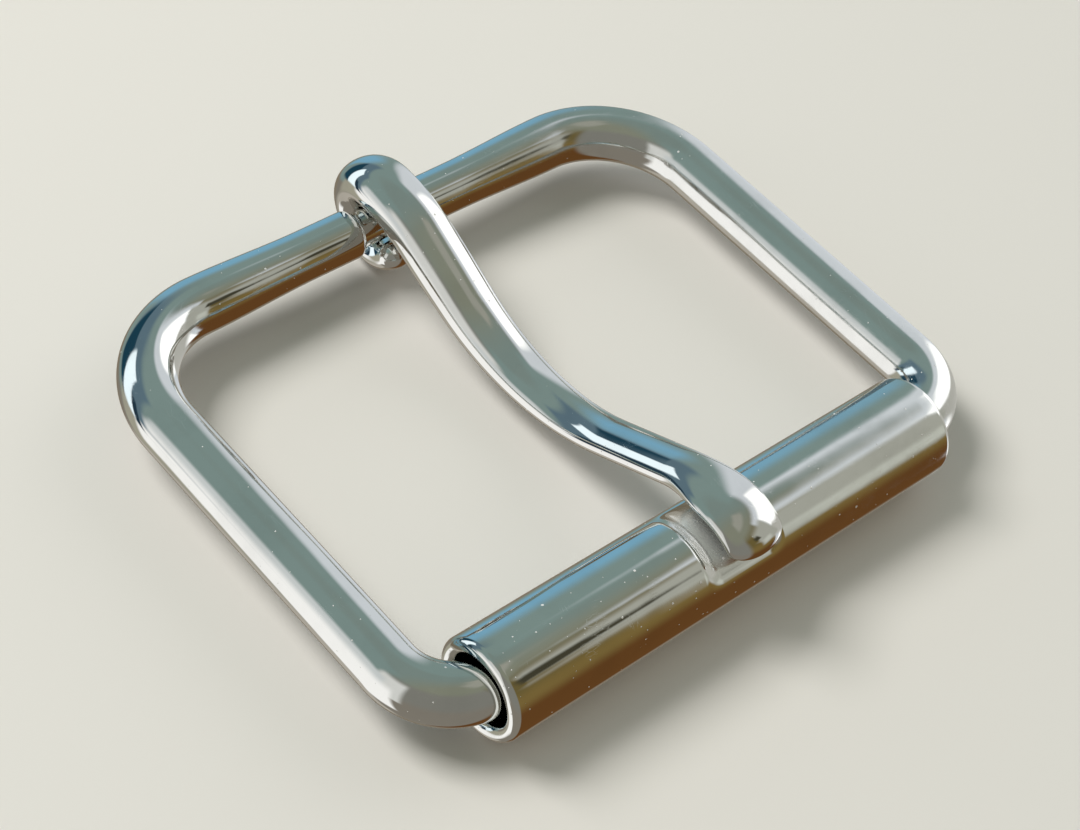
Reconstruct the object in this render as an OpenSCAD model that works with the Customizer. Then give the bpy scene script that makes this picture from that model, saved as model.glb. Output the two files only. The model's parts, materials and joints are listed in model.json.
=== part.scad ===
// Roller buckle for a dress belt: a round-bar frame, a roller on its front
// bar, and a tongue that swings on the necked middle of its heel bar.
// X runs along the heel bar, +Y points from the roller to the heel bar,
// and the buckle lies on Z = 0.

/* [Frame] */
// Clear width between the side bars, which the strap passes through
strap_w = 42; // [36:0.5:54]
// Distance from the heel bar's axis to the roller's axis
reach = 34.3; // [33:0.1:40]
// Diameter of the side bars and the front bar
bar_d = 4; // [3.6:0.1:4.2]
// Diameter of the heel bar
heel_bar_d = 3.5; // [3.2:0.1:3.6]
// Radius of the corners at the roller, to the middle of the bar
front_corner_r = 4.3; // [4:0.1:4.6]
// Radius of the corners at the heel, to the middle of the bar
heel_corner_r = 7.7; // [6:0.1:11]
// Diameter of the neck that the tongue swings on
neck_d = 2.6; // [2.4:0.1:2.8]
// Length of the neck between its two shoulders
neck_len = 4.4; // [4.3:0.1:6]
// Rounding of the shoulders' rims
shoulder_round = 0.6; // [0.3:0.1:0.8]

/* [Roller] */
// Outside diameter of the roller
roller_d = 7.1; // [6.9:0.1:7.4]
// Length of the roller
roller_len = 38.6; // [30:0.1:38.8]
// Distance that the roller lies off the middle of its bar
roller_shift = -0.5; // [-0.6:0.1:0.6]
// Inside diameter of the roller
roller_bore_d = 4.9; // [4.6:0.1:5]
// Rounding of the roller's rims
roller_round = 0.5; // [0.2:0.05:0.5]
// Depth of the seat pressed into the roller under the tongue
seat_depth = 0.7; // [0.4:0.05:0.75]
// Width of the seat
seat_w = 6.4; // [5.6:0.1:7]
// Angle that the seat spans round the roller
seat_span = 112; // [90:2:130]
// Angle from the roller's top to the middle of the seat, towards the front
seat_lean = 8; // [0:1:20]

/* [Tongue] */
// Width of the tongue at the heel bar
heel_w = 4.3; // [3.8:0.1:4.6]
// Thickness of the tongue at the heel bar
heel_t = 3.4; // [3:0.1:3.6]
// Width of the tongue at its narrowest, short of the roller
waist_w = 3.5; // [3:0.1:4.4]
// Thickness of the tongue at its narrowest
waist_t = 2; // [1.6:0.1:2.6]
// Width of the tongue over the roller
tip_w = 4.6; // [4.2:0.1:5.2]
// Thickness of the tongue over the roller
tip_t = 1.6; // [1.4:0.1:2]
// Angle from the roller's top to where the tip starts to round off
tip_wrap = 34; // [30:1:60]
// Slope of the tongue as it drops from the heel bar
drop_slope = 22.5; // [18:0.5:25]
// Slope of the tongue as it climbs to the roller
climb_slope = 26; // [22:0.5:28]
// Width of the thinned end that is wrapped under the neck
end_w = 2.7; // [2.2:0.1:3.6]

/* [Hidden] */
$fn = 96;

bar_r = bar_d / 2;
heel_bar_r = heel_bar_d / 2;
neck_r = neck_d / 2;
roller_r = roller_d / 2;
side_x = strap_w / 2 + bar_r;
axis_z = roller_r;

// Clearance of the tongue round the neck, and over the roller
swing_gap = 0.2;
rest_gap = 0.1;

steel = [0.82, 0.83, 0.85];

// ---- Frame ----

// Length over which the heel bar thickens towards each corner
taper_len = 4;

// Straight bar along X between two places
module bar_x(from, to) {
    translate([from, 0, 0])
        rotate([0, 90, 0])
            cylinder(h = to - from, r = bar_r);
}

// Quarter bend of radius r, from +X round to the +Y bar at height y
module corner(r, y) {
    translate([side_x - r, y - r, 0])
        rotate_extrude(angle = 90)
            translate([r, 0])
                circle(r = bar_r);
}

// Outline of half the heel bar beside its axis, from the neck outwards
module heel_outline() {
    shoulder_y = neck_len / 2;
    round_y = shoulder_y + shoulder_round;
    end_y = side_x - heel_corner_r;
    square([neck_r, round_y]);
    translate([0, shoulder_y])
        square([heel_bar_r - shoulder_round, shoulder_round]);
    translate([heel_bar_r - shoulder_round, round_y])
        circle(r = shoulder_round);
    polygon([
        [0, round_y],
        [heel_bar_r, round_y],
        [heel_bar_r, end_y - taper_len],
        [bar_r, end_y],
        [0, end_y]
    ]);
}

module heel_bar() {
    rotate([0, 90, 0])
        rotate_extrude()
            for (half = [0, 1])
                mirror([0, half])
                    heel_outline();
}

// Side bar and its two corners, on the +X side
module side_bar() {
    translate([side_x, 0, 0])
        rotate([0, 0, 90])
            bar_x(front_y + front_corner_r, heel_y - heel_corner_r);
    corner(heel_corner_r, heel_y);
    mirror([0, 1, 0])
        corner(front_corner_r, -front_y);
}

module frame() {
    front_len = side_x - front_corner_r;
    color(steel)
        translate([0, 0, axis_z]) {
            translate([0, heel_y, 0])
                heel_bar();
            translate([0, front_y, 0])
                bar_x(-front_len, front_len);
            for (side = [0, 1])
                mirror([side, 0, 0])
                    side_bar();
        }
}

// ---- Roller ----
// The seat is cut by a rim that turns about an axis on the far side of the
// roller's own, so it is deepest in its middle and runs out at both ends.

seat_floor_r = roller_r - seat_depth;
seat_shift = (pow(roller_r, 2) - pow(seat_floor_r, 2))
    / (2 * (seat_floor_r - roller_r * cos(seat_span / 2)));
seat_corner_r = 1.1;

// Cross-section of the rim that cuts the seat: a flat floor, round corners
module seat_outline() {
    flat = seat_w / 2 - seat_corner_r;
    translate([seat_shift + seat_floor_r, 0]) {
        for (side = [-1, 1])
            translate([seat_corner_r, side * flat])
                circle(r = seat_corner_r);
        translate([0, -flat])
            square([2 * seat_corner_r, 2 * flat]);
    }
}

// Cross-section of the roller's wall, with rounded rims
module roller_outline() {
    tube_r = roller_bore_d / 2;
    wall = roller_r - tube_r;
    core = roller_len / 2 - roller_round;
    translate([tube_r, -core])
        square([wall, 2 * core]);
    translate([tube_r + roller_round, -roller_len / 2])
        square([wall - 2 * roller_round, roller_len]);
    for (edge = [tube_r + roller_round, roller_r - roller_round])
        for (end = [-core, core])
            translate([edge, end])
                circle(r = roller_round);
}

module roller() {
    color(steel)
        translate([roller_shift, front_y, axis_z])
            rotate([0, 90, 0])
                difference() {
                    rotate_extrude()
                        roller_outline();
                    rotate([0, 0, seat_lean])
                        translate([seat_shift, 0, 0])
                            rotate_extrude()
                                seat_outline();
                }
}

// ---- Tongue ----
// The tongue is one rod swept along a line: round the neck, down through a
// dip, and up over the roller. The line is a list of stations, each of them
// [forward, up, heading, half width, half thickness], measured from the heel
// bar's axis. Forward is towards the roller, and the heading is an angle
// above forward.

loop_r = neck_r + swing_gap;
wrap_t = roller_r - loop_r;
wrap_turn = 235;
wrap_taper = 140;
crown_r = 12;
dip_r = 18;
crest_r = 10;
top_r = loop_r + heel_t / 2;
rest_r = roller_r + rest_gap + tip_t / 2;

end_size = [end_w, wrap_t] / 2;
heel_size = [heel_w, heel_t] / 2;
waist_size = [waist_w, waist_t] / 2;
tip_size = [tip_w, tip_t] / 2;

// Lengths of the straight drop and climb that bring the line to the crest,
// which is straight above the roller's axis
run_left = reach - (crown_r + dip_r) * sin(drop_slope)
    - (dip_r + crest_r) * sin(climb_slope);
rise_left = rest_r - top_r + (crown_r + dip_r) * (1 - cos(drop_slope))
    - (dip_r + crest_r) * (1 - cos(climb_slope));
slopes = sin(drop_slope + climb_slope);
drop_len = (run_left * sin(climb_slope) - rise_left * cos(climb_slope))
    / slopes;
climb_len = (run_left * sin(drop_slope) + rise_left * cos(drop_slope))
    / slopes;

// Centres of the arcs: the dip's is above the line, the others below it
crown_c = [0, top_r - crown_r];
dip_c = crown_c + (crown_r + dip_r) * normal(-drop_slope)
    + drop_len * along(-drop_slope);
crest_c = dip_c - (dip_r + crest_r) * normal(climb_slope)
    + climb_len * along(climb_slope);
tip_c = [reach, 0];

// Share of the taper from heel to waist that is over where the dip starts
dip_len = dip_r * (drop_slope + climb_slope) * PI / 180;
dip_share = drop_len / (drop_len + dip_len);

function along(heading) = [cos(heading), sin(heading)];
function normal(heading) = [-sin(heading), cos(heading)];

// Blend of two sizes, smooth at both ends
function blend(from, to, t) = from + (to - from) * t * t * (3 - 2 * t);

// Station on an arc, which is above its centre when r is positive
function on_arc(c, r, heading, size) =
    [each c + r * normal(heading), heading, each size];

// Stations of an arc whose size goes from one blend value to the other
function arc(c, r, turn, sizes, share = [0, 1], steps = 10) = [
    for (i = [0:steps])
        let (t = i / steps)
            on_arc(c, r, turn[0] + (turn[1] - turn[0]) * t,
                blend(sizes[0], sizes[1], share[0] + (share[1] - share[0]) * t))
];

// Stations that round off an end, from its body outwards
function cap(end, length, way, steps = 5) = [
    for (i = [1:steps])
        let (a = 84 * i / steps)
            [each [end[0], end[1]] + way * length * sin(a) * along(end[2]),
                end[2], end[3] * cos(a), end[4] * cos(a)]
];

function reversed(list) = [for (i = [len(list) - 1:-1:0]) list[i]];

wrap_steps = 30;
wrap = [
    for (i = [0:wrap_steps])
        let (
            heading = wrap_turn * (1 - i / wrap_steps),
            share = max(0, 1 - heading / wrap_taper),
            size = blend(end_size, heel_size, share)
        )
            on_arc([0, 0], loop_r + size[1], heading, size)
];
crown = arc(crown_c, crown_r, [-2, -drop_slope], [heel_size, heel_size]);
dip = arc(dip_c, -dip_r, [-drop_slope, climb_slope],
    [heel_size, waist_size], [dip_share, 1], 16);
crest = arc(crest_c, crest_r, [climb_slope, 0], [waist_size, tip_size]);
tip = arc(tip_c, rest_r, [-3, -tip_wrap], [tip_size, tip_size]);
stations = concat(
    reversed(cap(wrap[0], wrap_t / 2, -1)),
    wrap, crown, dip, crest, tip,
    cap(tip[len(tip) - 1], 1.3, 1)
);

// The buckle is centred on its whole length, from the back of the loop to the
// front of the tip or of the roller, whichever reaches further
faces = [for (s = stations) s[0] - s[4] * sin(s[2])];
centre = (min(faces) + max(reach + roller_r, max(faces))) / 2;
heel_y = round(centre * 100) / 100;
front_y = heel_y - reach;

// Point of a section's outline, which lies between an ellipse and a box
ring_sides = 24;
squareness = 2.4;
function bulge(v) = sign(v) * pow(abs(v), 2 / squareness);

function ring(s) = [
    for (k = [0:ring_sides - 1])
        let (
            a = 360 * k / ring_sides,
            point = [s[0], s[1]] + s[4] * bulge(sin(a)) * normal(s[2])
        )
            [s[3] * bulge(cos(a)), heel_y - point[0], axis_z + point[1]]
];

module tongue() {
    last = len(stations) - 1;
    points = [for (s = stations) each ring(s)];
    sides = [
        for (i = [0:last - 1])
            for (k = [0:ring_sides - 1])
                let (
                    a = i * ring_sides + k,
                    b = i * ring_sides + (k + 1) % ring_sides
                )
                    [a, b, b + ring_sides, a + ring_sides]
    ];
    near_end = [for (k = [ring_sides - 1:-1:0]) k];
    far_end = [for (k = [0:ring_sides - 1]) last * ring_sides + k];
    color(steel)
        polyhedron(points, concat(sides, [near_end, far_end]));
}

frame();
roller();
tongue();
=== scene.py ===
import bpy
import json
import math
import numpy as np
from mathutils import Matrix, Vector


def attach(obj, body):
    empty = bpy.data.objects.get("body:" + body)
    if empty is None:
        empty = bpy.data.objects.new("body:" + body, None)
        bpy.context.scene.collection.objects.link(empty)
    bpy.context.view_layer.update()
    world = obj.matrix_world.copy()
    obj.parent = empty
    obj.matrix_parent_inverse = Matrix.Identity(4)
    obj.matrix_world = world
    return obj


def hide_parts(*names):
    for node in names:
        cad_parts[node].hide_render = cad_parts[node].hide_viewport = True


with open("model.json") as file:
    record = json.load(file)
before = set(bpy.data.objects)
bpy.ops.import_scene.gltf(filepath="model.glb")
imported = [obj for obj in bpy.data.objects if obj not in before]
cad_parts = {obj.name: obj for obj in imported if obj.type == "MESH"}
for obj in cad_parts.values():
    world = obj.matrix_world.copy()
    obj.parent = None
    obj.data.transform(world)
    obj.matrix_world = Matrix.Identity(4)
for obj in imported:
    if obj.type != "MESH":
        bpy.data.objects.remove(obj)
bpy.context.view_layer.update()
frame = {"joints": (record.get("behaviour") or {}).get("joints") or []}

MM = 0.001
joints = {j["name"]: j for j in frame["joints"]}
heel = np.array(joints["tongue_swing"]["pos_m"]) / MM
front = np.array(joints["roller_spin"]["pos_m"]) / MM
axis_z = heel[2]


# ---- Camera ----
# At the photo's viewing angle: its directions and its place were fitted to the
# outline of the buckle.

camera = bpy.data.objects.new("camera", bpy.data.cameras.new("camera"))
bpy.context.collection.objects.link(camera)
bpy.context.scene.camera = camera
camera.data.sensor_width = 36
camera.data.lens = 80.9
camera.data.clip_start = 0.005
camera.data.clip_end = 20
right = Vector((0.7462, -0.6460, 0.1607)).normalized()
back = Vector((-0.5251, -0.4229, 0.7385))
back = (back - back.dot(right) * right).normalized()
up = back.cross(right)
position = Vector((-0.08562, -0.07000, 0.12085))
camera.matrix_world = Matrix((
    (right.x, up.x, back.x, position.x),
    (right.y, up.y, back.y, position.y),
    (right.z, up.z, back.z, position.z),
    (0, 0, 0, 1),
))


# ---- Mesh helpers ----

def smoothstep(t):
    t = np.clip(t, 0, 1)
    return t * t * (3 - 2 * t)


def mesh_object(name, points, faces):
    """A smooth-shaded object from points in millimetres."""
    mesh = bpy.data.meshes.new(name)
    mesh.from_pydata([tuple(p) for p in np.asarray(points) * MM], [], faces)
    mesh.validate()
    mesh.polygons.foreach_set("use_smooth", [True] * len(mesh.polygons))
    mesh.update()
    obj = bpy.data.objects.new(name, mesh)
    bpy.context.collection.objects.link(obj)
    return obj


def skin(rings, closed=False):
    """Points and faces of a tube through rings of equal length, capped unless it's closed."""
    count, sides = len(rings), len(rings[0])
    points = np.concatenate(rings)
    faces = []
    for i in range(count if closed else count - 1):
        a, b = i * sides, (i + 1) % count * sides
        for k in range(sides):
            m = (k + 1) % sides
            faces.append((a + k, a + m, b + m, b + k))
    if not closed:
        faces.append(tuple(range(sides - 1, -1, -1)))
        faces.append(tuple((count - 1) * sides + k for k in range(sides)))
    return points, faces


# ---- Frame ----

STRAP_W, BAR_R, HEEL_R, NECK_R = 42, 2, 1.75, 1.3
FRONT_BEND, HEEL_BEND, TAPER = 4.3, 7.7, 9
NECK_HALF, SHOULDER = 2.2, 0.6
side_x = STRAP_W / 2 + BAR_R


def heel_profile():
    """(distance along the heel bar from its middle, radius) from the neck to the corner."""
    steps = [(x, NECK_R) for x in (0, 0.7, 1.4, 1.9, 2.12, 2.19)]
    start = math.asin((NECK_R - (HEEL_R - SHOULDER)) / SHOULDER)
    for a in np.linspace(start, math.pi / 2, 14):
        steps.append((NECK_HALF + SHOULDER * (1 - math.cos(a)), HEEL_R - SHOULDER * (1 - math.sin(a))))
    shoulder_end, end = NECK_HALF + SHOULDER, side_x - HEEL_BEND
    for x in np.linspace(shoulder_end + 0.25, end, 44):
        steps.append((x, HEEL_R + (BAR_R - HEEL_R) * smoothstep((x - end + TAPER) / TAPER)))
    return steps


def frame_half():
    """Stations [x, y, tangent x, tangent y, radius] of the +X half, from the neck round to the front."""
    stations = [(x, heel[1], 1, 0, r) for x, r in heel_profile()]
    for a in np.radians(np.linspace(0, 90, 41))[1:]:
        stations.append((
            side_x - HEEL_BEND * (1 - math.sin(a)), heel[1] - HEEL_BEND * (1 - math.cos(a)),
            math.cos(a), -math.sin(a), BAR_R,
        ))
    for y in np.linspace(heel[1] - HEEL_BEND, front[1] + FRONT_BEND, 60)[1:]:
        stations.append((side_x, y, 0, -1, BAR_R))
    for a in np.radians(np.linspace(0, 90, 33))[1:]:
        stations.append((
            side_x - FRONT_BEND * (1 - math.cos(a)), front[1] + FRONT_BEND * (1 - math.sin(a)),
            -math.sin(a), -math.cos(a), BAR_R,
        ))
    for x in np.linspace(side_x - FRONT_BEND, 0, 12)[1:]:
        stations.append((x, front[1], -1, 0, BAR_R))
    return stations


def build_frame():
    """The closed ring of bar: frame_half and its mirror image."""
    half = frame_half()
    other = [(-x, y, tx, -ty, r) for x, y, tx, ty, r in reversed(half[1:-1])]
    angles = np.linspace(0, 2 * math.pi, 72, endpoint=False)
    rings = []
    for x, y, tx, ty, r in half + other:
        across, lift = r * np.cos(angles), r * np.sin(angles)
        rings.append(np.stack([x + ty * across, y - tx * across, axis_z + lift], 1))
    points, faces = skin(rings, closed=True)
    return mesh_object("frame_bar", points, faces)


# ---- Roller ----

ROLLER_R, BORE_R, ROLLER_HALF, RIM = 3.55, 2.45, 19.3, 0.5
SEAT_FLOOR, SEAT_SHIFT, SEAT_LEAN = 2.85, 2.59, math.radians(8)
SEAT_HALF, SEAT_SIDE, SEAT_SOFT = 3.45, 1.4, 0.16
FINE_HALF = 3.7  # half of the length that has a fine mesh, round the seat


def seat_depth(x, psi):
    """How far the seat is pressed in at x along the roller and psi from the seat's middle."""
    c = np.cos(psi)
    reach = SEAT_SHIFT + SEAT_FLOOR
    inside = np.maximum(0, (SEAT_SHIFT * c) ** 2 - SEAT_SHIFT ** 2 + reach ** 2)
    depth = ROLLER_R - (-SEAT_SHIFT * c + np.sqrt(inside))
    depth = np.maximum(0, (depth + np.sqrt(depth ** 2 + SEAT_SOFT ** 2)) / 2 - SEAT_SOFT ** 2 / 4)
    return depth * smoothstep((SEAT_HALF - np.abs(x)) / SEAT_SIDE)


def rim(end, start, stop, middle, way):
    """Profile points [x, radius, has a seat] of a rounded edge at one end, -1 or 1, of the roller."""
    return [
        (end * (ROLLER_HALF - RIM + RIM * math.cos(a)), middle + way * RIM * math.sin(a), False)
        for a in np.radians(np.linspace(start, stop, 9))
    ]


def build_roller():
    """The tube, turned from a closed profile, with its seat pressed in."""
    sides = 240
    angles = np.linspace(0, 2 * math.pi, sides, endpoint=False)
    psi = (angles - SEAT_LEAN + math.pi) % (2 * math.pi) - math.pi
    core = ROLLER_HALF - RIM
    outer, inner = ROLLER_R - RIM, BORE_R + RIM
    xs = np.concatenate([
        np.linspace(-core, -FINE_HALF, 17)[1:-1],
        np.linspace(-FINE_HALF, FINE_HALF, 141),
        np.linspace(FINE_HALF, core, 17)[1:-1],
    ])
    profile = rim(-1, 0, 90, outer, 1) + [(x, ROLLER_R, True) for x in xs] + rim(1, 90, 0, outer, 1)
    profile += rim(1, 0, 90, inner, -1)
    profile += [(x, BORE_R, False) for x in np.linspace(core, -core, 14)[1:-1]]
    profile += rim(-1, 90, 0, inner, -1)
    rings = []
    for x, r, seat in profile:
        radius = r - (seat_depth(x, psi) if seat else 0)
        ring = np.stack([
            np.full(sides, front[0] + x),
            front[1] - radius * np.sin(angles),
            axis_z + radius * np.cos(angles),
        ], 1)
        rings.append(ring)
    points, faces = skin(rings, closed=True)
    return mesh_object("roller_tube", points, faces)


# ---- Tongue ----
# Swept along the same line as its CAD solid: round the neck, down through a
# dip, and up over the roller. Forward is towards the roller.

REACH = heel[1] - front[1]
LOOP_R, WRAP_TURN, WRAP_TAPER = 1.5, 235, 140
WRAP_T = ROLLER_R - LOOP_R
CROWN_R, DIP_R, CREST_R = 12, 18, 10
DROP, CLIMB, TIP_WRAP = 22.5, 26, 34
TIP_GAP, TIP_CAP = 0.1, 1.3
END, HEEL, WAIST, TIP = (np.array(s) / 2 for s in ((2.7, WRAP_T), (4.3, 3.4), (3.5, 2), (4.6, 1.6)))


def sin(degrees):
    return math.sin(math.radians(degrees))


def cos(degrees):
    return math.cos(math.radians(degrees))


def along(h):
    """The unit vector at heading h, in [forward, up]."""
    return np.array([cos(h), sin(h)])


def normal(h):
    """The unit vector that points out of the tongue's top at heading h."""
    return np.array([-sin(h), cos(h)])


def mix(a, b, t):
    """a at t = 0 and b at t = 1, with a smooth start and end."""
    return a + (b - a) * t * t * (3 - 2 * t)


def tongue_stations():
    """[forward, up, heading, half width, half thickness] from the wrapped end to the tip."""
    top_r = LOOP_R + HEEL[1]
    rest_r = ROLLER_R + TIP_GAP + TIP[1]
    run = REACH - (CROWN_R + DIP_R) * sin(DROP) - (DIP_R + CREST_R) * sin(CLIMB)
    rise = rest_r - top_r + (CROWN_R + DIP_R) * (1 - cos(DROP)) - (DIP_R + CREST_R) * (1 - cos(CLIMB))
    drop_len = (run * sin(CLIMB) - rise * cos(CLIMB)) / sin(DROP + CLIMB)
    climb_len = (run * sin(DROP) + rise * cos(DROP)) / sin(DROP + CLIMB)
    crown_c = np.array([0, top_r - CROWN_R])
    dip_c = crown_c + (CROWN_R + DIP_R) * normal(-DROP) + drop_len * along(-DROP)
    crest_c = dip_c - (DIP_R + CREST_R) * normal(CLIMB) + climb_len * along(CLIMB)
    dip_len = DIP_R * math.radians(DROP + CLIMB)
    share = drop_len / (drop_len + dip_len)

    def station(centre, r, h, size):
        return (*(centre + r * normal(h)), h, *size)

    def arc(centre, r, h0, h1, a, b, s0=0.0, s1=1.0, steps=16):
        """Stations on an arc, with the size going from s0 to s1 of the way from a to b."""
        return [station(centre, r, h0 + (h1 - h0) * i / steps, mix(a, b, s0 + (s1 - s0) * i / steps))
                for i in range(steps + 1)]

    def straight(start, length, h, a, b, s1, steps):
        """Stations past start on a straight line, with the size going s1 of the way from a to b."""
        made = []
        for i in range(1, steps):
            t = i / steps
            place = np.array(start[:2]) + length * t * along(h)
            made.append((*place, h, *mix(a, b, s1 * t)))
        return made

    def cap(end, length, way):
        """Stations that round off an end. They stop just short of 90 degrees, before a point."""
        steps = 18
        made = []
        for i in range(1, steps + 1):
            a = 89.6 * sin(90 * i / steps)
            place = np.array(end[:2]) + way * length * sin(a) * along(end[2])
            made.append((*place, end[2], end[3] * cos(a), end[4] * cos(a)))
        return made

    wrap = []
    wrap_steps = 72
    for i in range(wrap_steps + 1):
        h = WRAP_TURN * (1 - i / wrap_steps)
        size = mix(END, HEEL, max(0, 1 - h / WRAP_TAPER))
        wrap.append(station(np.zeros(2), LOOP_R + size[1], h, size))
    crown = arc(crown_c, CROWN_R, -1, -DROP, HEEL, HEEL, steps=18)
    drop = straight(crown[-1], drop_len, -DROP, HEEL, WAIST, share, 12)
    dip = arc(dip_c, -DIP_R, -DROP, CLIMB, HEEL, WAIST, share, 1, 40)
    climb = straight(dip[-1], climb_len, CLIMB, WAIST, WAIST, 1, 8)
    crest = arc(crest_c, CREST_R, CLIMB, 0, WAIST, TIP, steps=28)
    tip = arc(np.array([REACH, 0]), rest_r, -1, -TIP_WRAP, TIP, TIP, steps=20)
    line = wrap + crown + drop + dip + climb + crest + tip
    return cap(wrap[0], WRAP_T / 2, -1)[::-1] + line + cap(tip[-1], TIP_CAP, 1)


def build_tongue():
    """The rod, with a section that is nearly an ellipse at every station."""
    sides, squareness = 64, 2.05
    a = np.linspace(0, 2 * math.pi, sides, endpoint=False)
    flat = np.sign(np.cos(a)) * np.abs(np.cos(a)) ** (2 / squareness)
    tall = np.sign(np.sin(a)) * np.abs(np.sin(a)) ** (2 / squareness)
    rings = []
    for forward, rise, heading, half_w, half_t in tongue_stations():
        across = half_t * tall
        n = normal(heading)
        rings.append(np.stack([
            half_w * flat,
            heel[1] - (forward + across * n[0]),
            axis_z + rise + across * n[1],
        ], 1))
    points, faces = skin(rings)
    return mesh_object("tongue_rod", points, faces)


frame_bar = build_frame()
roller_tube = build_roller()
tongue_rod = build_tongue()


# ---- Materials ----

class Nodes:
    """Short calls for building a node tree."""

    def __init__(self, tree):
        self.tree = tree

    def add(self, kind, inputs=(), **settings):
        node = self.tree.nodes.new(kind)
        for name, value in settings.items():
            setattr(node, name, value)
        for name, value in dict(inputs).items():
            self.put(node.inputs[name], value)
        return node

    def put(self, socket, value):
        """Links a socket to value, or sets it."""
        if isinstance(value, bpy.types.NodeSocket):
            self.tree.links.new(value, socket)
        else:
            socket.default_value = value

    def math(self, operation, a, b=0.5, clamp=False):
        node = self.add("ShaderNodeMath", {0: a, 1: b}, operation=operation, use_clamp=clamp)
        return node.outputs[0]

    def ramp(self, value, low, high, to_low=0.0, to_high=1.0):
        """value mapped from low..high to to_low..to_high, held at both ends."""
        node = self.add("ShaderNodeMapRange", {
            "Value": value, "From Min": low, "From Max": high, "To Min": to_low, "To Max": to_high,
        }, interpolation_type="SMOOTHSTEP")
        return node.outputs["Result"]

    def blend(self, factor, a, b):
        """Colour a where factor is 0 and b where it is 1."""
        node = self.add("ShaderNodeMix", data_type="RGBA")
        self.put(node.inputs[0], factor)
        self.put(node.inputs[6], a)
        self.put(node.inputs[7], b)
        return node.outputs[2]

    def stretched(self, scale, turn=(0, 0, 0)):
        """Object coordinates in millimetres, stretched by scale after a turn in degrees."""
        coords = self.add("ShaderNodeTexCoord").outputs["Object"]
        turned = self.add("ShaderNodeMapping", {
            "Vector": coords, "Rotation": [math.radians(a) for a in turn], "Scale": (1000, 1000, 1000),
        }).outputs["Vector"]
        return self.add("ShaderNodeMapping", {"Vector": turned, "Scale": scale}).outputs["Vector"]

    def noise(self, scale, detail, roughness=0.5, turn=(0, 0, 0)):
        return self.add("ShaderNodeTexNoise", {
            "Vector": self.stretched(scale, turn), "Scale": 1.0, "Detail": detail, "Roughness": roughness,
        }).outputs["Fac"]

    def specks(self, scale, share, size):
        """Round flecks in a random share of cells. size is the largest radius, in cells."""
        cells = self.add("ShaderNodeTexVoronoi", {"Vector": self.stretched(scale), "Scale": 1.0})
        pick = self.add("ShaderNodeSeparateColor", {"Color": cells.outputs["Color"]})
        chosen = self.math("LESS_THAN", pick.outputs[0], share)
        width = self.math("MULTIPLY", pick.outputs[1], size)
        inside = self.ramp(self.math("SUBTRACT", width, cells.outputs["Distance"]), 0, 0.05)
        return self.math("MULTIPLY", inside, chosen)

    def scratches(self, scale, turn, share, width):
        """Fine lines: the edges of long thin cells, in patches."""
        cells = self.add("ShaderNodeTexVoronoi", {
            "Vector": self.stretched(scale, turn), "Scale": 1.0,
        }, feature="DISTANCE_TO_EDGE").outputs["Distance"]
        line = self.ramp(cells, 0, width, 1, 0)
        patch = self.ramp(self.noise((0.35, 0.35, 0.35), 2, turn=turn), 1 - share, 1.05 - share)
        return self.math("MULTIPLY", line, patch)


# Colour of the dust flecks, and of the pale seat coat that is partly painted light
DUST_AND_SEAT_LIGHT_COLOUR = (0.88, 0.86, 0.82, 1)
SCRATCH = (0.93, 0.93, 0.92, 1)
CLEAN, HAZED, FINE_ROUGH = 0.03, 0.065, 0.015  # roughness of the polish, and what fine blotches add
SCRATCH_ROUGH, WORN_ROUGH, DUST_ROUGH = 0.12, 0.11, 0.5  # what each adds to it
SWELL, GRAIN, SCRATCH_DEEP, DUST_HIGH = 0.03, 0.00025, 0.0005, 0.010  # relief in millimetres
# How much the pale seat coat covers: partly dust, partly painted light that lightens the seat's floor
SEAT_DUST_AND_LIGHT_COVER = 0.45


def seat_dust_and_painted_light(n):
    """1 on the floor of the roller's seat, 0 on the rest of the roller. There the metal gets a pale coat
    that is partly dust and partly painted light, lightening the seat's dark floor.
    """
    middle = (0, front[1], axis_z)
    place = n.add("ShaderNodeVectorMath", {0: n.stretched((1, 1, 1)), 1: middle}, operation="SUBTRACT")
    flat = n.add("ShaderNodeVectorMath", {0: place.outputs[0], 1: (0, 1, 1)}, operation="MULTIPLY")
    radius = n.add("ShaderNodeVectorMath", {0: flat.outputs[0]}, operation="LENGTH").outputs["Value"]
    x = n.add("ShaderNodeSeparateXYZ", {"Vector": place.outputs[0]}).outputs["X"]
    near = n.ramp(n.math("ABSOLUTE", x), SEAT_HALF + 1, SEAT_HALF)
    return n.math("MULTIPLY", near, n.ramp(radius, ROLLER_R - 0.05, ROLLER_R - 0.5))


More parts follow.
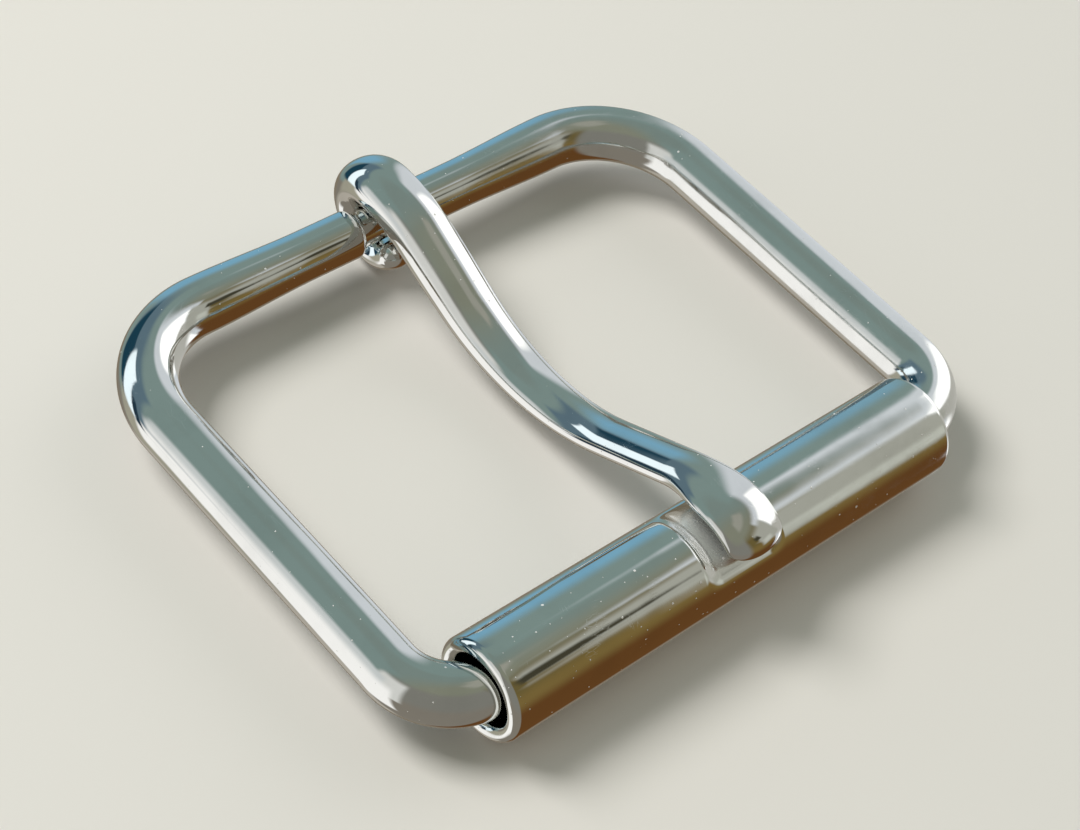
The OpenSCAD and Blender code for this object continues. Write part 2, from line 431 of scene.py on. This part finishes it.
def polished(name, tint, hairlines, worn, dust=1.0, seed_turn=(0, 0, 0), dust_and_light_coat=None):
    """Mirror-polished nickel plate with hairlines, dust and finger haze, and, where a mask is given, a
    pale coat that is partly dust and partly painted light.

    hairlines is two sets of lines, each a scale and a turn. The metal grows duller as X passes
    from worn[0] to worn[1]. seed_turn turns the noise, so that it differs from piece to piece.
    """
    mat = bpy.data.materials.new(name)
    mat.use_nodes = True
    n = Nodes(mat.node_tree)
    shader = mat.node_tree.nodes["Principled BSDF"]

    haze = n.ramp(n.noise((0.22, 0.22, 0.22), 4, 0.6, seed_turn), 0.42, 0.72)
    fine = n.noise((2.1, 2.1, 2.1), 3, 0.6, seed_turn)
    place = n.add("ShaderNodeSeparateXYZ", {"Vector": n.stretched((1, 1, 1))})
    smears = n.ramp(n.noise((0.3, 1.3, 1.3), 4, 0.65, seed_turn), 0.36, 0.62, 0.3, 1)
    wear = n.math("MULTIPLY", n.ramp(place.outputs["X"], *worn), smears)
    long_lines, cross_lines = hairlines
    lines = n.math("MAXIMUM",
                   n.scratches(*long_lines, share=0.42, width=0.022),
                   n.scratches(*cross_lines, share=0.34, width=0.02))
    dust_and_seat_light = n.math("MAXIMUM",
                    n.specks((1.6, 1.6, 1.6), share=0.07 * dust, size=0.17),
                    n.specks((4.6, 4.6, 4.6), share=0.035 * dust, size=0.28))
    # A pale, less metallic coat of the dust colour on the seat's floor: partly dust, partly painted light
    # that lightens it
    if dust_and_light_coat:
        dust_and_seat_light = n.math("MAXIMUM", dust_and_seat_light, n.math("MULTIPLY", dust_and_light_coat(n), SEAT_DUST_AND_LIGHT_COVER))

    tinted = n.blend(haze, (*tint, 1), (*[c * 0.93 for c in tint], 1))
    lined = n.blend(n.math("MULTIPLY", lines, 0.25), tinted, SCRATCH)
    n.put(shader.inputs["Base Color"], n.blend(dust_and_seat_light, lined, DUST_AND_SEAT_LIGHT_COLOUR))
    n.put(shader.inputs["Metallic"], n.ramp(dust_and_seat_light, 0, 1, 1, 0.25))
    rough = n.math("ADD", n.ramp(haze, 0, 1, CLEAN, HAZED), n.ramp(fine, 0.4, 0.8, 0, FINE_ROUGH))
    rough = n.math("ADD", rough, n.math("MULTIPLY", lines, SCRATCH_ROUGH))
    rough = n.math("ADD", rough, n.math("MULTIPLY", wear, WORN_ROUGH))
    rough = n.math("ADD", rough, n.math("MULTIPLY", dust_and_seat_light, DUST_ROUGH), clamp=True)
    n.put(shader.inputs["Roughness"], rough)

    swell = n.noise((0.16, 0.16, 0.16), 2, 0.5, seed_turn)
    grain = n.noise((9, 9, 9), 2, 0.5, seed_turn)
    height = n.math("ADD", n.math("MULTIPLY", swell, SWELL), n.math("MULTIPLY", grain, GRAIN))
    height = n.math("SUBTRACT", height, n.math("MULTIPLY", lines, SCRATCH_DEEP))
    height = n.math("ADD", height, n.math("MULTIPLY", dust_and_seat_light, DUST_HIGH))
    bump = n.add("ShaderNodeBump", {"Height": height, "Strength": 1.0, "Distance": MM})
    n.put(shader.inputs["Normal"], bump.outputs["Normal"])
    return mat


materials = {
    "frame": polished(
        "frame_nickel", (0.76, 0.77, 0.745),
        hairlines=(((0.5, 0.5, 7), (0, 0, 20)), ((0.6, 4.5, 0.6), (25, 10, 40))),
        worn=(4, 12),
    ),
    "roller": polished(
        "roller_nickel", (0.77, 0.78, 0.75),
        hairlines=(((0.45, 6, 6), (0, 8, 12)), ((3.2, 0.5, 0.5), (30, 0, 24))),
        # the seat's floor gets the pale coat of dust and painted light
        worn=(2, 9), dust=2.2, seed_turn=(40, 0, 15), dust_and_light_coat=seat_dust_and_painted_light,
    ),
    "tongue": polished(
        "tongue_nickel", (0.76, 0.765, 0.74),
        hairlines=(((5, 0.5, 5), (0, 0, 4)), ((0.7, 4, 0.7), (15, 35, 0))),
        worn=(2, 6), seed_turn=(0, 30, 50),
    ),
}
for piece, node in ((frame_bar, "frame"), (roller_tube, "roller"), (tongue_rod, "tongue")):
    piece.data.materials.append(materials[node])
    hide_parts(node)
    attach(piece, node)


# ---- Stage ----

FLOOR_HALF = 3
FLOOR_COLOUR = (0.78, 0.74, 0.68, 1)
BACKDROP = (0.86, 0.84, 0.80, 1)
floor_mesh = bpy.data.meshes.new("floor")
corners = [(x * FLOOR_HALF, y * FLOOR_HALF, 0) for x, y in ((-1, -1), (1, -1), (1, 1), (-1, 1))]
floor_mesh.from_pydata(corners, [], [(0, 1, 2, 3)])
floor = bpy.data.objects.new("floor", floor_mesh)
bpy.context.collection.objects.link(floor)
floor.visible_glossy = False
mat = bpy.data.materials.new("floor")
mat.use_nodes = True
shader = mat.node_tree.nodes["Principled BSDF"]
shader.inputs["Base Color"].default_value = FLOOR_COLOUR
shader.inputs["Roughness"].default_value = 0.9
shader.inputs["Specular IOR Level"].default_value = 0.2
floor.data.materials.append(mat)

# The surroundings that the metal reflects are painted by direction: a turn of 0 degrees
# is +Y and 90 is +X, and lift is the angle up. Their colours and places were chosen
# after what the metal in the photo shows. The camera sees a plain backdrop instead.
world = bpy.data.worlds.new("studio")
bpy.context.scene.world = world
world.use_nodes = True
world.node_tree.nodes.clear()
n = Nodes(world.node_tree)
facing = n.add("ShaderNodeTexCoord").outputs["Generated"]
way = n.add("ShaderNodeVectorMath", {0: facing}, operation="NORMALIZE")
axes = n.add("ShaderNodeSeparateXYZ", {"Vector": way.outputs[0]})
turn = n.math("MULTIPLY", n.math("ARCTAN2", axes.outputs["X"], axes.outputs["Y"]), 180 / math.pi)
lift = n.math("MULTIPLY", n.math("ARCSINE", axes.outputs["Z"]), 180 / math.pi)


def patch(turns, turn_soft, lifts, lift_soft, lean=0):
    """1 inside a patch of directions that leans by lean degrees a degree up, fading to 0 outside it."""
    leant = n.math("SUBTRACT", turn, n.math("MULTIPLY", lift, lean))
    a = n.ramp(leant, turns[0] - turn_soft[0], turns[0])
    b = n.ramp(leant, turns[1], turns[1] + turn_soft[1], 1, 0)
    c = n.ramp(lift, lifts[0] - lift_soft[0], lifts[0])
    d = n.ramp(lift, lifts[1], lifts[1] + lift_soft[1], 1, 0)
    return n.math("MULTIPLY", n.math("MULTIPLY", a, b), n.math("MULTIPLY", c, d))


# Grey all round, apart from a tall card to the right of the camera, brown below and olive above
card = n.blend(n.ramp(lift, -24, 2), (0.14, 0.06, 0.018, 1), (0.22, 0.15, 0.048, 1))
card = n.blend(n.ramp(lift, 4, 26), card, (0.165, 0.125, 0.045, 1))
room = n.blend(n.ramp(lift, -24, 6), (0.25, 0.225, 0.19, 1), (0.24, 0.235, 0.21, 1))
room = n.blend(patch((98, 158), (14, 12), (-90, 90), (1, 1)), room, card)
ceiling = n.blend(n.ramp(axes.outputs["Y"], -0.35, 0.2), (0.26, 0.27, 0.21, 1), (0.225, 0.29, 0.27, 1))
sky = n.blend(n.ramp(lift, 40, 58), room, ceiling)

# Soft-edged cards, each painted over the ones before it: colour, turns and their soft edges,
# lifts and their soft edges, and lean
for colour, turns, turn_soft, lifts, lift_soft, lean in (
    # ground beyond the buckle, and under it
    ((0.25, 0.21, 0.155), (10, 80), (22, 20), (-80, -34), (8, 12), 0),
    ((0.50, 0.46, 0.40), (-48, 4), (10, 14), (-76, -58), (6, 8), 0),
    # far wall, with a blue curtain
    ((0.235, 0.32, 0.305), (-66, 58), (22, 14), (-24, 56), (10, 12), 0),
    ((0.42, 0.40, 0.32), (-44, -26), (8, 12), (-50, -18), (8, 8), 0),
    ((0.22, 0.46, 0.64), (20, 32), (8, 18), (-12, 8), (14, 26), 0),
    # left window and its curtains
    ((0.78, 0.78, 0.76), (-100, -76), (8, 10), (-20, 34), (6, 16), 0),
    ((0.70, 0.73, 0.74), (-78, -58), (8, 9), (-20, 20), (6, 13), 0),
    ((1.15, 1.13, 1.12), (-90, -50), (8, 8), (-56, -10), (8, 28), 0),
    # slate, and a bright blue-white strip with navy shade on each side
    ((0.125, 0.195, 0.245), (-51, 2), (9, 14), (-4, 40), (9, 9), 0.55),
    ((0.02, 0.045, 0.07), (-45, -38), (3, 3), (-16, 6), (5, 8), 0.55),
    ((0.013, 0.055, 0.09), (-16, 3), (3, 7), (-14, 20), (8, 4), 0.55),
    ((1.12, 1.27, 1.36), (-36, -19), (3, 4), (-12, 30), (8, 3), 0.55),
    # right window, its curtains and the glow above it
    ((0.37, 0.37, 0.32), (108, 150), (16, 22), (65, 72), (6, 8), 0),
    ((0.73, 0.77, 0.82), (61, 124), (10, 6), (-30, 47), (8, 8), 0),
    ((1.5, 1.5, 1.5), (75, 115), (5, 4), (-36, 41), (6, 5), 0),
    ((0.53, 0.52, 0.48), (96, 122), (6, 14), (-46, 21), (6, 6), 0.84),
    ((0.44, 0.44, 0.39), (120, 144), (6, 5), (5, 40), (7, 10), 0),
    ((0.60, 0.61, 0.55), (135, 141), (7, 6), (9, 15), (6, 9), 0),
    ((0.06, 0.055, 0.035), (143, 147), (4, 6), (31, 36), (4, 7), 0),
):
    sky = n.blend(patch(turns, turn_soft, lifts, lift_soft, lean), sky, (*colour, 1))
seen = n.add("ShaderNodeLightPath").outputs["Is Camera Ray"]
sky = n.blend(seen, sky, BACKDROP)
background = n.add("ShaderNodeBackground", {"Color": sky, "Strength": 1.0})
n.add("ShaderNodeOutputWorld", {"Surface": background.outputs[0]})

lamp = bpy.data.objects.new("soft_key", bpy.data.lights.new("soft_key", "AREA"))
lamp.data.energy = 5
lamp.data.size = 0.35
lamp.location = (-0.25, 0.45, 0.6)
lamp.rotation_euler = (-lamp.location).to_track_quat("-Z", "Y").to_euler()
lamp.visible_glossy = False
bpy.context.collection.objects.link(lamp)
bpy.context.scene.view_settings.view_transform = "Standard"
